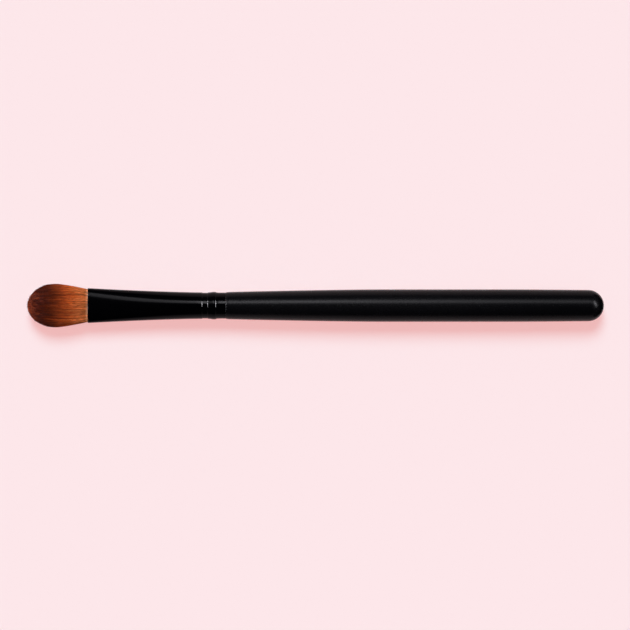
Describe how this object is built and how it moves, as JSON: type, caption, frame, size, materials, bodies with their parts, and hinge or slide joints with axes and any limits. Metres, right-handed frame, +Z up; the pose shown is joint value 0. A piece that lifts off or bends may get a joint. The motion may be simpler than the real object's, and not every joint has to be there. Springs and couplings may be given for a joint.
{
  "type": "eyeshadow brush",
  "caption": "Flat eyeshadow brush: a domed brown tuft in a gloss black ferrule, flattened at its mouth and crimped onto a long round satin black handle.",
  "frame": {"origin": "on the surface that the brush lies on, below the middle of its length", "axes": "+X along the brush's axis from the tuft's tip to the butt, +Y across the flat of the tuft, +Z up"},
  "size_m": [0.16, 0.012, 0.0089],
  "materials": {
    "hair": "fine soft hair, light orange brown at the ferrule and dark brown towards the tip",
    "thread": "waxed thread",
    "resin": "set amber resin, hidden in the ferrule",
    "ferrule_metal": "gloss black coating",
    "cement": "set cement, hidden under the crimps",
    "lacquered_wood": "satin black lacquer"
  },
  "bodies": {
    "root": {"hair_tuft": "hair", "thread_binding": "thread", "root_resin": "resin", "ferrule": "ferrule_metal", "tenon_cement": "cement", "handle": "lacquered_wood"}
  },
  "joints": []
}
